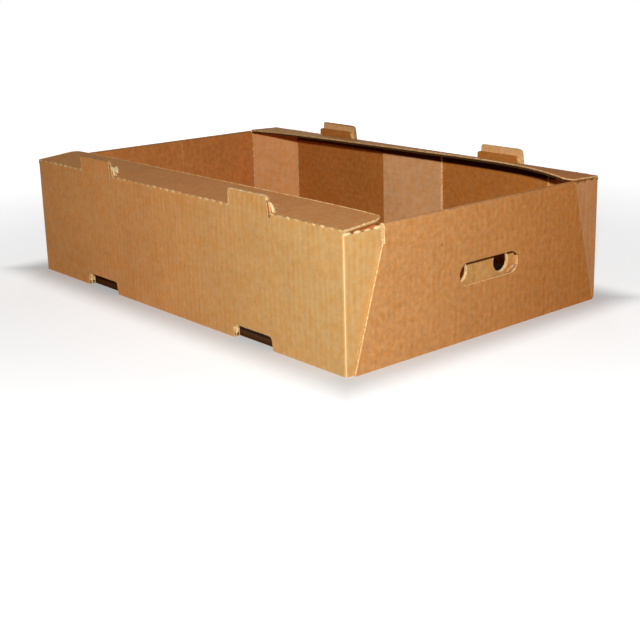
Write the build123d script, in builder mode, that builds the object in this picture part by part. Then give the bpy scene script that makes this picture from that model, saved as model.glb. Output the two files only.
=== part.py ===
from build123d import *
from math import cos, radians, sin
import os

os.makedirs("parts", exist_ok=True)

# A stacking tray of single-wall corrugated board, folded from one body blank and two
# side panels, with a short stiffener glued inside each long wall.
# X runs along the long walls, Y across them, and the floor is at z = 0.

# Board
board = 4.0  # thickness of one ply
fold_radius = 3.0  # outside radius of a folded edge
edge_gap = 0.5  # play between two neighbouring edges

# Overall sizes
tray_length = 600.0  # over the rolled end walls
tray_width = 392.0  # over the long walls
wall_height = 145.0  # floor to the top folds

# Folded corners
flap_length = 49.5  # end flap, from the corner fold to its crease
post_angle = 37.0  # slanting post panel, from the long wall
post_gap = 0.3  # free edge of the post panel off the long wall
crease_radius = 1.5  # outside radius of the sharp crease between flap and post

# Inner ply of the long walls, between the posts
liner_left = 237.0  # reach from the middle of the tray
liner_right = 228.0

# Ledge along the top of each long wall, sprung up a little more between its ends
ledge_width = 54.0  # from the outside of the wall to the free edge
ledge_corner = 12.0  # rounding of the free corners
ledge_setback = 1.0  # ledge end behind the end flap's face
front_end_rise = 5.0  # rise of the free edge at the ends of the wall
back_end_rise = 1.5
front_spring = 6.5  # rise of the front free edge halfway along
front_skew = 0.5  # by how much more it rises towards the right
back_spring = 9.2
back_skew = 4.5
spring_power = 6  # how squarely the rise sets in from the ends

# Stacking tabs and the notches that take them
tab_spacing = 302.0  # between the two tab centres of a wall
front_tab_shift = -2.0  # the pair of tabs off the middle of its wall
back_tab_shift = 1.5
tab_foot = 66.0  # width at the fold
tab_lean = 2.5  # how far one side edge leans in over the tall tab's rise
tab_rise = 17.5  # tall tab, above the top fold
tab_corner = 5.0  # rounding of the leaning corner
upright_corner = 2.5  # rounding of the other one
front_short_shift = 1.0  # the pair of short tabs of the inner ply
back_short_shift = -1.5
short_foot = 67.0  # width at the fold
short_lean = 4.5
short_rise = 9.5  # this tab carries the tray above
short_corner = 4.0
notch_height = 15.0
notch_play = 1.0  # play at each side of a tab in its notch

# End walls
end_step_height = 16.0  # length of the upright cut below the rolled edge
end_step = 2.5  # width of the step under it
end_lap = 4.5  # the back edge of the outer ply has no step and laps this much past the roll
end_foot_margin = 9.0  # foot corner of the outer ply, from the long wall's face
hand_slot_length = 92.0
hand_slot_height = 24.5
hand_slot_centre_height = 72.0
hand_slot_shift = 5.0  # the slot sits a little off the middle
finger_hole_diameter = 24.0
finger_hole_spacing = 64.5
finger_hole_height = 75.0
finger_hole_shift = -5.0

# Stiffener inside each long wall
stiffener_length = 108.0
stiffener_shift = 2.5  # off the middle of the wall

# Derived planes
half_length = tray_length / 2
half_width = tray_width / 2
corner_x = half_length - board  # outside of the end flaps
floor_half_x = corner_x - board
floor_half_y = half_width - board  # outside of the inner long plies
inner_face_y = floor_half_y - board
crease_y = half_width - flap_length
rolled_half = crease_y - edge_gap
ledge_underside = wall_height - board
ply_top = ledge_underside - edge_gap  # plies that end below the ledge
post_sin = sin(radians(post_angle))
post_cos = cos(radians(post_angle))
post_foot_y = floor_half_y - post_gap - board * post_cos
post_foot_x = corner_x - (post_foot_y - crease_y) * post_cos / post_sin
tab_centres = [-tab_spacing / 2, tab_spacing / 2]
notch_foot = tab_foot + 2 * notch_play
ledge_half = corner_x - ledge_setback
ledge_edge_y = half_width - ledge_width
trim = 2.0  # raw ledge beyond its finished outline
ledge_stations = [-1, -0.9, -0.7, -0.35, 0, 0.35, 0.7, 0.9, 1]  # shares of its half length


def wall_plane(x, y, z):
    """Upright sketch plane along a long wall, drawn as seen from the front."""
    return Plane((x, y, z), x_dir=(1, 0, 0), z_dir=(0, -1, 0))


def tab_outline(foot, lean, rise, corner, skirt):
    """One tab: upright edge on the left, leaning edge with a rounder top on the right."""
    Polygon(
        (-foot / 2, -skirt),
        (foot / 2, -skirt),
        (foot / 2, 0),
        (foot / 2 - lean, rise),
        (-foot / 2, rise),
        align=None,
    )
    fillet(vertices().group_by(Axis.Y)[-1].sort_by(Axis.X)[-1], radius=corner)
    fillet(vertices().group_by(Axis.Y)[-1].sort_by(Axis.X)[0], radius=upright_corner)


# Body blank: base, rolled end walls and the inner plies of the long walls
with BuildPart() as tray_body:
    # base between the long walls and the end flaps
    with BuildSketch():
        Rectangle(2 * floor_half_x, 2 * floor_half_y)
    extrude(amount=board)
    # end wall: the inner ply turned over the top edge into the outer ply
    with BuildSketch(Plane.XZ):
        with BuildLine():
            Line((floor_half_x, 0), (half_length, 0))
            Line((half_length, 0), (half_length, ledge_underside))
            CenterArc((corner_x, ledge_underside), board, 0, 180)
            Line((floor_half_x, ledge_underside), (floor_half_x, 0))
        make_face()
    extrude(amount=rolled_half, both=True)
    # outer ply: flares out over the end flaps below the rolled edge
    with BuildSketch(Plane.YZ.offset(corner_x)):
        with BuildLine():
            Polyline(
                (end_foot_margin - half_width, 0),
                (half_width - end_foot_margin, 0),
                (rolled_half + end_lap, ledge_underside),
                (0, ledge_underside),
                (0, ledge_underside - end_step_height),
                (-rolled_half - end_step, ledge_underside - end_step_height),
                close=True,
            )
        make_face()
    extrude(amount=board)
    # hand slot through the outer ply
    with BuildSketch(Plane.YZ.offset(corner_x)):
        with Locations((hand_slot_shift, hand_slot_centre_height)):
            SlotOverall(hand_slot_length, hand_slot_height)
    extrude(amount=board, mode=Mode.SUBTRACT)
    # two finger holes through the inner ply behind it
    with BuildSketch(Plane.YZ.offset(floor_half_x)):
        with Locations((finger_hole_shift, finger_hole_height)):
            with GridLocations(finger_hole_spacing, 1, 2, 1):
                Circle(finger_hole_diameter / 2)
    extrude(amount=board, mode=Mode.SUBTRACT)
    # the other end wall is the same
    mirror(about=Plane.YZ)
    # inner ply of each long wall, folded up from the base, with its two short tabs
    for ply_y, tab_shift, short_shift in (
        (-inner_face_y, front_tab_shift, front_short_shift),
        (floor_half_y, back_tab_shift, back_short_shift),
    ):
        with BuildSketch(wall_plane(0, ply_y, 0)):
            with Locations(((liner_right - liner_left) / 2, ply_top / 2)):
                Rectangle(liner_left + liner_right, ply_top)
        extrude(amount=board)
        for tab_x in tab_centres:
            with BuildSketch(wall_plane(tab_x + short_shift, ply_y, wall_height)):
                tab_outline(short_foot, short_lean, short_rise, short_corner, 2 * board)
            extrude(amount=board)
            # notch through the fold, down to the floor
            with BuildSketch(wall_plane(tab_x + tab_shift, ply_y, 0)):
                tab_outline(notch_foot, tab_lean, notch_height, tab_corner, board)
            extrude(amount=board, mode=Mode.SUBTRACT)
tray_body.part.label = "tray_body"
export_step(tray_body.part, "parts/tray_body.step")

# Side panel: outer long wall, ledge, two tall tabs, end flaps and the posts behind them.
# Both are drawn at the front; the back one is then mirrored.
def side_panel(spring, skew, end_rise, tab_shift, short_shift):
    """Folded side panel whose ledge springs up by its own amount."""
    with BuildPart() as panel:
        # ledge over the whole wall, lying down at its ends and sprung up between them
        for station in ledge_stations:
            bow = spring - end_rise + skew * station
            rise = end_rise + bow * (1 - station**spring_power)
            with BuildSketch(Plane.YZ.offset(station * (ledge_half + trim))):
                Polygon(
                    (-half_width, ply_top),
                    (-floor_half_y, ply_top),
                    (-floor_half_y, ledge_underside),
                    (trim - ledge_edge_y, ledge_underside + rise),
                    (trim - ledge_edge_y, wall_height + rise),
                    (-half_width, wall_height),
                    align=None,
                )
                fillet(vertices().sort_by(Axis.X)[:2].sort_by(Axis.Y)[-1], radius=fold_radius)
        loft()
        # trimmed in plan, with the free corners rounded
        with BuildSketch(Plane.XY.offset(ply_top - trim)):
            with Locations((0, -ledge_edge_y)):
                Rectangle(2 * ledge_half, ledge_width + trim, align=(Align.CENTER, Align.MAX))
            fillet(vertices().group_by(Axis.Y)[-1], radius=ledge_corner)
        extrude(amount=2 * (board + trim + spring), mode=Mode.INTERSECT)
        # wall, end flaps and slanting posts are one strip, folded round the corners
        with BuildSketch():
            Polygon(
                (0, -half_width),
                (corner_x, -half_width),
                (corner_x, -crease_y),
                (post_foot_x, -post_foot_y),
                (post_foot_x + board * post_sin, -post_foot_y - board * post_cos),
                (floor_half_x, -crease_y - board * (1 + post_sin) / post_cos),
                (floor_half_x, -floor_half_y),
                (0, -floor_half_y),
                align=None,
            )
            fillet(vertices().group_by(Axis.Y)[0].sort_by(Axis.X)[-1], radius=fold_radius)
            fillet(vertices().group_by(Axis.Y)[-1].sort_by(Axis.X)[-1], radius=crease_radius)
            mirror(about=Plane.YZ)
        extrude(amount=ply_top)
        # the posts stand on the base
        with BuildSketch():
            Rectangle(2 * floor_half_x, 2 * floor_half_y)
        extrude(amount=board, mode=Mode.SUBTRACT)
        for tab_x in tab_centres:
            # cut-out that the tall tab leaves in the ledge, wider where the short tab comes up
            with BuildSketch(Plane((tab_x + tab_shift, -half_width, ledge_underside), (1, 0, 0), (0, 0, 1))):
                tab_outline(tab_foot, tab_lean, tab_rise + edge_gap, tab_corner, board)
                with Locations((short_shift - tab_shift, (half_width - inner_face_y) / 2)):
                    Rectangle(short_foot + 2 * notch_play, half_width - inner_face_y + 2 * edge_gap)
            extrude(amount=2 * (board + spring), mode=Mode.SUBTRACT)
            # tall tab, standing in the plane of the wall
            with BuildSketch(wall_plane(tab_x + tab_shift, -floor_half_y, wall_height)):
                tab_outline(tab_foot, tab_lean, tab_rise, tab_corner, board + edge_gap)
            extrude(amount=board)
            # notch in the bottom edge
            with BuildSketch(wall_plane(tab_x + tab_shift, -floor_half_y, 0)):
                tab_outline(notch_foot, tab_lean, notch_height, tab_corner, board)
            extrude(amount=board, mode=Mode.SUBTRACT)
    return panel.part


with BuildPart() as side_panel_front:
    add(side_panel(front_spring, front_skew, front_end_rise, front_tab_shift, front_short_shift))
side_panel_front.part.label = "side_panel_front"
export_step(side_panel_front.part, "parts/side_panel_front.step")

with BuildPart() as side_panel_back:
    back_panel = side_panel(back_spring, back_skew, back_end_rise, back_tab_shift, back_short_shift)
    mirror(back_panel, about=Plane.XZ)
side_panel_back.part.label = "side_panel_back"
export_step(side_panel_back.part, "parts/side_panel_back.step")

# Stiffener glued to the inner ply halfway along each long wall, from base to ledge
with BuildPart() as stiffener_front:
    with BuildSketch(wall_plane(0, -inner_face_y + board, board)):
        with Locations((stiffener_shift, (ply_top - board) / 2)):
            Rectangle(stiffener_length, ply_top - board)
    extrude(amount=board)
stiffener_front.part.label = "stiffener_front"
export_step(stiffener_front.part, "parts/stiffener_front.step")

with BuildPart() as stiffener_back:
    mirror(stiffener_front.part, about=Plane.XZ)
stiffener_back.part.label = "stiffener_back"
export_step(stiffener_back.part, "parts/stiffener_back.step")
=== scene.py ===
import math

import bmesh
import bpy
from mathutils import Matrix, Vector, noise


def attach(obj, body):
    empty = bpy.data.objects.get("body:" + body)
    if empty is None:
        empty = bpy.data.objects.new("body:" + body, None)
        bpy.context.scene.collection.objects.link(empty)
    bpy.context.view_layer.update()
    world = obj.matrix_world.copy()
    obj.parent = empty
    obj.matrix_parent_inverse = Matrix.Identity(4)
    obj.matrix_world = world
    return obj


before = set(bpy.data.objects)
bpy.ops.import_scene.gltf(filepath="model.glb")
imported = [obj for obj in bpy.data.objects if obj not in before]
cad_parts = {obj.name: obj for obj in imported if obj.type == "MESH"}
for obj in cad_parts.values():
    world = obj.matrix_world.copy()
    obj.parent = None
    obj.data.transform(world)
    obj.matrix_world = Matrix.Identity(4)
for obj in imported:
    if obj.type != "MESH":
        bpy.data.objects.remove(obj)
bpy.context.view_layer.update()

# Sizes of the tray, in millimetres, as it was cut and folded. A size that differs between the
# long walls is kept by its side: -1 at the front, 1 at the back.
BOARD = 4.0
FLUTE = 8.0  # pitch of the board's flutes
HALF_LENGTH = 300.0
HALF_WIDTH = 196.0
WALL_HEIGHT = 145.0
CORNER_X = HALF_LENGTH - BOARD  # outside of the end flaps
FLOOR_HALF_X = CORNER_X - BOARD
FLOOR_HALF_Y = HALF_WIDTH - BOARD  # outside of the inner long plies
INNER_FACE_Y = FLOOR_HALF_Y - BOARD

# End walls, end flaps and corner posts
ROLL_HALF = 146.0  # rolled top edge, each way from the middle
ROLL_HEIGHT = WALL_HEIGHT - BOARD
PLY_TOP = ROLL_HEIGHT - 0.5  # plies that end below the ledge
CREASE_Y = 146.5  # between an end flap and its post
POST_ANGLE = math.radians(37.0)
POST_FOOT = (240.3, 188.5)
END_FOOT_Y = 187.0  # foot corner of the outer end ply
END_STEP = 2.5
END_STEP_Z = 125.0
END_LAP = 4.5
SLOT_MIDDLE = (5.0, 72.0)
SLOT_SIZE = (92.0, 24.5)
FINGER_HOLES = ((-37.25, 75.0), (27.25, 75.0))
FINGER_HOLE_RADIUS = 12.0

# Inner plies and stiffeners, from end to end
LINER_ENDS = (-237.0, 228.0)
STIFFENER_ENDS = (-51.5, 56.5)

# Ledges
LEDGE_EDGE_Y = 142.0
LEDGE_HALF = 295.0
LEDGE_CORNER = 12.0
LEDGE_RAW_HALF = LEDGE_HALF + 2.0  # before its outline was cut
LEDGE_RAW_WIDTH = 52.0  # from the wall's inside to the raw free edge
LEDGE_END_RISE = {-1: 5.0, 1: 1.5}
LEDGE_SPRING = {-1: 6.5, 1: 9.2}  # rise halfway along
LEDGE_SKEW = {-1: 0.5, 1: 4.5}  # by how much more it rises towards the right
LEDGE_POWER = 6.0  # how squarely the rise sets in from the ends
RIM_DEPTH = {-1: 0.1, 1: 0.8}  # crushed lip below the ledge's top
CREVICE_FOOT = 128.3  # lower limit of the painted shadow under a ledge
CREVICE_BOW = 4.5

# Stacking tabs of both plies, and the notches that take them
TAB_CENTRES = {-1: (-153.0, 149.0), 1: (-149.5, 152.5)}
TAB_FOOT = 66.0
TAB_LEAN = 2.5
TAB_RISE = 17.5
TAB_CORNER = 5.0
UPRIGHT_CORNER = 2.5
SHORT_CENTRES = {-1: (-150.0, 152.0), 1: (-152.5, 149.5)}
SHORT_FOOT = 67.0
SHORT_LEAN = 4.5
SHORT_RISE = 9.5
SHORT_CORNER = 4.0
NOTCH_FOOT = 68.0
NOTCH_HEIGHT = 15.0

# Small marks of this one tray
SEAM_Y = 22.6  # a faint scored line across the left end wall's inside
LEDGE_NICK = (165.6, -170.8, 146.5)
END_SPECK = (HALF_LENGTH, -67.2, 109.9)

# Directions across the board at its cut edges, the longest straight run of an outline there, and
# how many points of a tab's outline its right edge takes
ACROSS_END, ACROSS_WALL, ACROSS_LEDGE = (1.0, 0.0, 0.0), (0.0, 1.0, 0.0), (0.0, 0.0, 1.0)
LONGEST = 8.0
RIGHT_EDGE = 8

# Limits that tell the board's faces apart
HAIR = 0.1  # play around a face's own plane, in millimetres
FACING = 0.5  # a face with this share of its normal along an axis faces that way
SQUARELY = 0.8
ASLANT = 0.4


def tone(red, green, blue):
    """A paint-chart colour, 0 to 255, as the linear colour that the shaders take."""
    linear = [((part / 255 + 0.055) / 1.055) ** 2.4 for part in (red, green, blue)]
    return (*linear, 1.0)


LIGHT_LINER = tone(214, 160, 99)
BROWN_LINER = tone(202, 138, 77)
INNER_LINER = tone(198, 135, 70)
# Lighter than the inner liner, to make up for the dim light on the base inside the tray: painted light
LIGHTENED_BASE_LINER = tone(226, 160, 88)
INNER_END_LINER = tone(209, 143, 84)
SLOT_LINER = tone(206, 152, 88)
CRUSHED_LINER = tone(200, 158, 94)
# Painted shade for the lower half of each ledge end, where the gap under it lies
LEDGE_END_SHADE = tone(150, 88, 42)
CUT_CREAM = tone(240, 208, 154)
CUT_BROWN = tone(214, 166, 106)
# Painted shade in the flute hollows of cut edges
CUT_HOLLOW_SHADE = tone(160, 106, 58)
FOLD_CREAM = tone(236, 204, 156)
TUFT_CREAM = tone(246, 222, 172)
# Dark brown of the lumps that stand for the shade in the fold's slits: painted shade
SLIT_SHADE_BROWN = tone(96, 56, 26)
SPECK_BROWN = tone(120, 72, 36)
WARM_PATCH = tone(255, 244, 224)

# Tints over a liner's own tone. The colour drifts from the first to the second with the distance
# from the near right corner, where the key lamp falls brightest, which is counted in lengths of the
# tray: painted light. The stiffener's pair is one tint twice, so it doesn't drift.
BODY_LIGHT_TINTS = ((1.02, 1.15, 1.44, 1.0), (0.93, 0.82, 0.70, 1.0))
PANEL_LIGHT_TINTS = ((0.96, 1.09, 1.20, 1.0), (1.12, 0.97, 0.94, 1.0))
STIFFENER_TINTS = ((1.22, 1.31, 1.72, 1.0), (1.22, 1.31, 1.72, 1.0))
LEDGE_LIGHT_TINTS = ((1.02, 0.78, 0.68, 1.0), (1.0, 1.05, 1.05, 1.0))
BACK_LEDGE_LIGHT_TINTS = ((0.87, 0.73, 0.66, 1.0), (0.86, 0.91, 0.70, 1.0))
DRIFT = (0.02, 0.70)
LEDGE_DRIFT = (0.1, 1.0)
BACK_LEDGE_DRIFT = (0.65, 1.0)

# Tints of single places
ROLL_TINT = (1.01, 1.05, 1.18, 1.0)
POST_TINT = (1.0, 1.10, 1.30, 1.0)
BACK_TAB_TINT = (1.10, 1.40, 1.76, 1.0)
FRONT_TAB_TINT = (1.0, 0.96, 0.90, 1.0)
FAR_FLAP_TINT = (0.85, 0.85, 1.0, 1.0)
# Darkening for painted shade, and for the small dark marks of the nick and the speck
SHADE_AND_MARK_TINT = (0.12, 0.09, 0.06, 1.0)


class Bench:
    """Lays out the nodes of one tree. A value may be a socket, a number, a vector or a colour."""

    def __init__(self, tree):
        self.tree = tree

    def feed(self, socket, value):
        if isinstance(value, bpy.types.NodeSocket):
            self.tree.links.new(value, socket)
        else:
            socket.default_value = value

    def node(self, kind, inputs=None, **settings):
        made = self.tree.nodes.new(kind)
        for name, value in settings.items():
            setattr(made, name, value)
        for key, value in (inputs or {}).items():
            self.feed(made.inputs[key], value)
        return made

    def calc(self, operation, *values, clamp=False):
        made = self.node("ShaderNodeMath", operation=operation, use_clamp=clamp)
        for socket, value in zip(made.inputs, values):
            self.feed(socket, value)
        return made.outputs[0]

    def times(self, first, second):
        return self.calc("MULTIPLY", first, second)

    def minus(self, first, second, clamp=False):
        return self.calc("SUBTRACT", first, second, clamp=clamp)

    def scale_add(self, value, factor, added):
        return self.calc("MULTIPLY_ADD", value, factor, added)

    def step(self, value, low, high):
        """0 below low, 1 above high, and smooth between them."""
        inputs = {0: value, 1: low, 2: high}
        return self.node("ShaderNodeMapRange", inputs, interpolation_type="SMOOTHSTEP").outputs[0]

    def both(self, *masks):
        shared = masks[0]
        for mask in masks[1:]:
            shared = self.calc("MULTIPLY", shared, mask)
        return shared

    def either(self, *masks):
        shared = masks[0]
        for mask in masks[1:]:
            shared = self.calc("MAXIMUM", shared, mask)
        return shared

    def over(self, value, limit):
        return self.calc("GREATER_THAN", value, limit)

    def under(self, value, limit):
        return self.calc("LESS_THAN", value, limit)

    def between(self, value, low, high):
        return self.both(self.over(value, low), self.under(value, high))

    def off(self, value, place):
        """How far a value is from a place, either way."""
        return self.calc("ABSOLUTE", self.calc("SUBTRACT", value, place))

    def near(self, value, place, reach):
        return self.under(self.off(value, place), reach)

    def without(self, mask):
        return self.calc("SUBTRACT", 1.0, mask)

    def less(self, mask, taken, share=1.0):
        """A mask with a share of another one taken out of it."""
        return self.both(mask, self.calc("MULTIPLY_ADD", taken, -share, 1.0))

    def vector(self, x, y, z):
        return self.node("ShaderNodeCombineXYZ", {0: x, 1: y, 2: z}).outputs[0]

    def stretch(self, place, scale):
        return self.node("ShaderNodeVectorMath", {0: place, 1: scale}, operation="MULTIPLY").outputs[0]

    def distance(self, place, middle):
        made = self.node("ShaderNodeVectorMath", {0: place, 1: middle}, operation="DISTANCE")
        return made.outputs["Value"]

    def noise(self, place, scale, detail=2.0, roughness=0.5):
        inputs = {"Vector": place, "Scale": scale, "Detail": detail, "Roughness": roughness}
        return self.node("ShaderNodeTexNoise", inputs).outputs[0]

    def blend(self, share, first, second, mode="MIX"):
        inputs = {0: share, 6: first, 7: second}
        return self.node("ShaderNodeMix", inputs, data_type="RGBA", blend_type=mode).outputs[2]

    def tint(self, colour, tint):
        return self.blend(1.0, colour, tint, "MULTIPLY")

    def choose(self, share, first, second):
        return self.node("ShaderNodeMix", {0: share, 2: first, 3: second}, data_type="FLOAT").outputs[0]

    def grey(self, value):
        return self.vector(value, value, value)

    def use(self, group, inputs=None):
        made = self.node("ShaderNodeGroup", node_tree=group)
        for key, value in (inputs or {}).items():
            self.feed(made.inputs[key], value)
        return made.outputs


def shader_group(name, inputs, outputs):
    """A shared shader effect: its tree, its bench, its input sockets and its output node."""
    tree = bpy.data.node_groups.new(name, "ShaderNodeTree")
    kinds = {float: "NodeSocketFloat", tuple: "NodeSocketColor", list: "NodeSocketVector"}
    for label, value in inputs.items():
        socket = tree.interface.new_socket(label, in_out="INPUT", socket_type=kinds[type(value)])
        socket.default_value = value
    for label, kind in outputs.items():
        tree.interface.new_socket(label, in_out="OUTPUT", socket_type=kinds[kind])
    bench = Bench(tree)
    return tree, bench, bench.node("NodeGroupInput").outputs, bench.node("NodeGroupOutput").inputs


def board_place():
    """Where a point lies on the tray, in millimetres, and which way the board faces there."""
    outputs = {"Place": list, "X": float, "Y": float, "Z": float, "Out X": float, "Out Y": float}
    outputs.update({"Face X": float, "Face Y": float, "Face Z": float, "Away": float})
    tree, bench, _, out = shader_group("board_place", {}, outputs)
    where = bench.node("ShaderNodeTexCoord")
    place = bench.stretch(where.outputs["Object"], (1000.0, 1000.0, 1000.0))
    spot = bench.node("ShaderNodeSeparateXYZ", {0: place}).outputs
    facing = bench.node("ShaderNodeSeparateXYZ", {0: where.outputs["Normal"]}).outputs
    bench.feed(out["Place"], place)
    for axis in range(3):
        bench.feed(out["XYZ"[axis]], spot[axis])
        bench.feed(out["Face " + "XYZ"[axis]], bench.calc("ABSOLUTE", facing[axis]))
    bench.feed(out["Out X"], bench.calc("ABSOLUTE", spot[0]))
    bench.feed(out["Out Y"], bench.calc("ABSOLUTE", spot[1]))
    from_corner = bench.vector(
        bench.minus(spot[0], HALF_LENGTH), bench.calc("ADD", spot[1], HALF_WIDTH), 0.0
    )
    away = bench.node("ShaderNodeVectorMath", {0: from_corner}, operation="LENGTH").outputs["Value"]
    bench.feed(out["Away"], bench.calc("DIVIDE", away, 2 * HALF_LENGTH))
    return tree


def kraft_liner():
    """Kraft paper: clouds, blotches, fibres and a few dark specks."""
    inputs = {"Place": [0.0, 0.0, 0.0], "Colour": LIGHT_LINER, "Blotches": 1.0}
    tree, bench, inn, out = shader_group(
        "kraft_liner", inputs, {"Colour": tuple, "Roughness": float, "Height": float}
    )
    clouds = bench.noise(inn["Place"], 0.017, 3.0, 0.55)
    blotches = bench.noise(inn["Place"], 0.16, 2.0, 0.6)
    pulp = bench.noise(inn["Place"], 0.75, 3.0, 0.65)
    fibres = bench.noise(bench.stretch(inn["Place"], (0.6, 0.6, 1.3)), 1.0, 2.0, 0.6)
    bright = bench.scale_add(clouds, 0.22, 0.89)
    for pattern, spread in ((blotches, 0.42), (pulp, 0.22), (fibres, 0.14)):
        spread = bench.times(inn["Blotches"], spread)
        bright = bench.scale_add(bench.minus(pattern, 0.5), spread, bright)
    colour = bench.tint(inn["Colour"], bench.grey(bright))
    warm = bench.noise(inn["Place"], 0.11, 2.0, 0.6)
    warmer = bench.tint(colour, WARM_PATCH)
    colour = bench.blend(bench.step(warm, 0.40, 0.65), colour, warmer)
    specks = bench.noise(bench.stretch(inn["Place"], (1.0, 1.0, 0.6)), 0.3, 0.0, 0.5)
    specks = bench.times(bench.step(specks, 0.845, 0.89), 0.5)
    colour = bench.blend(specks, colour, SPECK_BROWN)
    bench.feed(out["Colour"], colour)
    bench.feed(out["Roughness"], bench.scale_add(pulp, 0.12, 0.74))
    height = bench.scale_add(fibres, 0.5, bench.times(blotches, 0.8))
    bench.feed(out["Height"], height)
    return tree


def flute_wash():
    """The flutes telegraphing through the liner as a faint washboard."""
    inputs = {"Along": 0.0, "Place": [0.0, 0.0, 0.0], "Pitch": FLUTE}
    tree, bench, inn, out = shader_group("flute_wash", inputs, {"Shade": float, "Height": float})
    drift = bench.times(bench.noise(inn["Place"], 0.02, 1.0), 6.0)
    turn = bench.calc("DIVIDE", bench.calc("ADD", inn["Along"], drift), inn["Pitch"])
    wave = bench.calc("SINE", bench.times(turn, math.tau))
    patchy = bench.step(bench.noise(inn["Place"], 0.03, 1.0), 0.35, 0.65)
    force = bench.scale_add(patchy, 0.7, 0.3)
    across = bench.noise(inn["Place"], 0.01, 1.0)
    run = bench.vector(inn["Along"], bench.times(across, 9.0), 0.0)
    streaks = bench.minus(bench.noise(run, 0.42, 2.0, 0.7), 0.5)
    streaks = bench.times(streaks, 3.2)
    shade = bench.scale_add(wave, bench.times(force, 0.6), streaks)
    bench.feed(out["Shade"], shade)
    bench.feed(out["Height"], bench.times(wave, force))
    return tree


def fluted_cut():
    """A cut edge: two pale liners with the wavy middle paper, and the hollows between them painted dark
    as shade.
    """
    inputs = {"Depth": 0.0, "Along": 0.0, "Pressed": 0.0, "Place": [0.0, 0.0, 0.0]}
    tree, bench, inn, out = shader_group("fluted_cut", inputs, {"Colour": tuple, "Height": float})
    rough = bench.noise(inn["Place"], 0.5, 2.0)
    depth = bench.scale_add(bench.minus(rough, 0.5), 0.5, inn["Depth"])
    off_middle = bench.minus(depth, BOARD / 2)
    liners = bench.step(bench.calc("ABSOLUTE", off_middle), BOARD / 2 - 0.95, BOARD / 2 - 0.6)
    wave = bench.calc("SINE", bench.times(inn["Along"], math.tau / FLUTE))
    off_wave = bench.minus(off_middle, bench.times(wave, BOARD / 2 - 0.6))
    wavy = bench.without(bench.step(bench.calc("ABSOLUTE", off_wave), 0.25, 0.55))
    solid = bench.either(liners, wavy, inn["Pressed"])
    ragged = bench.step(bench.noise(inn["Place"], 0.9, 2.0), 0.35, 0.6)
    paper = bench.blend(ragged, CUT_BROWN, CUT_CREAM)
    # The hollows take a dark brown that stands for the shade in them: painted shade
    bench.feed(out["Colour"], bench.blend(solid, CUT_HOLLOW_SHADE, paper))
    bench.feed(out["Height"], solid)
    return tree


PLACE = board_place()
LINER = kraft_liner()
WASH = flute_wash()
CUT = fluted_cut()


def new_material(name):
    made = bpy.data.materials.new(name)
    made.use_nodes = True
    made.node_tree.nodes.clear()
    return made, Bench(made.node_tree)


def finish_board(bench, colour, roughness, height, height_scale):
    """The matt paper shader that every board surface ends in."""
    bump = bench.node("ShaderNodeBump", {"Height": height, "Distance": height_scale, "Strength": 1.0})
    looks = {"Base Color": colour, "Roughness": roughness, "Normal": bump.outputs[0]}
    shader = bench.node("ShaderNodeBsdfPrincipled", {**looks, "Specular IOR Level": 0.06})
    bench.node("ShaderNodeOutputMaterial", {"Surface": shader.outputs[0]})


def dress_board(bench, spot, liner_colour, along, cut, fold_mask, looks, painted_shade_and_marks=0.0):
    """Liner, washboard, folds and cut edges of one piece of board.

    cut holds the mask of the cut edges, the depth into the board, the run along it and how flat the
    die has pressed it; looks holds the strength of the washboard and of the blotches, and the pair
    of tints that the colour drifts between with the distance from the near right corner, where the
    key lamp falls brightest: painted light.
    """
    cut_mask, cut_depth, cut_along, pressed = cut
    wash_shade, blotches, tints = looks
    paper = bench.use(LINER, {"Place": spot["Place"], "Colour": liner_colour, "Blotches": blotches})
    wash = bench.use(WASH, {"Along": along, "Place": spot["Place"]})
    shade = bench.scale_add(wash["Shade"], wash_shade, 1.0)
    colour = bench.tint(paper["Colour"], bench.grey(shade))
    # Tint by the distance from the near right corner, where the key lamp falls brightest: painted light
    colour = bench.tint(colour, bench.blend(bench.step(spot["Away"], *DRIFT), *tints))
    colour = bench.blend(fold_mask, colour, FOLD_CREAM)
    edge = bench.use(
        CUT, {"Place": spot["Place"], "Depth": cut_depth, "Along": cut_along, "Pressed": pressed}
    )
    colour = bench.blend(cut_mask, colour, edge["Colour"])
    # Darkened where shade is painted, and at small dark marks
    colour = bench.blend(painted_shade_and_marks, colour, bench.tint(colour, SHADE_AND_MARK_TINT))
    height = bench.times(paper["Height"], 0.25)
    height = bench.scale_add(wash["Height"], 0.35, height)
    height = bench.choose(cut_mask, height, bench.times(edge["Height"], 3.0))
    finish_board(bench, colour, paper["Roughness"], height, 0.0002)


def painted_ledge_shadow(bench, spot):
    """Painted shadow in the crevice under a ledge; its lower limit rises with the ledge's bow."""
    share = bench.calc("DIVIDE", spot["Out X"], LEDGE_RAW_HALF)
    bow = bench.without(bench.calc("POWER", share, 4.0))
    limit = bench.scale_add(bow, CREVICE_BOW, CREVICE_FOOT)
    return bench.step(bench.minus(spot["Z"], limit), 0.0, 2.5)


def slot_places(bench, spot, end_cut):
    """Hand slots: the ply seen through them, their own rim, and painted shade under the top edge."""
    behind = bench.both(bench.over(spot["Face X"], SQUARELY), bench.near(spot["Out X"], CORNER_X, 0.3))
    rim = bench.both(
        end_cut,
        bench.near(spot["Y"], SLOT_MIDDLE[0], SLOT_SIZE[0] / 2 + 1.0),
        bench.near(spot["Z"], SLOT_MIDDLE[1], SLOT_SIZE[1]),
        bench.over(spot["Out X"], CORNER_X + HAIR),
    )
    top = SLOT_MIDDLE[1] + SLOT_SIZE[1] / 2
    # Painted shade: on the ply under the slot's top edge, and on the rim's upper cut faces
    shade = bench.either(
        bench.both(behind, bench.step(spot["Z"], top - 4.4, top - 3.2)),
        bench.both(rim, bench.step(spot["Z"], top - 8.0, top - 5.5)),
    )
    return behind, rim, shade


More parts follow.
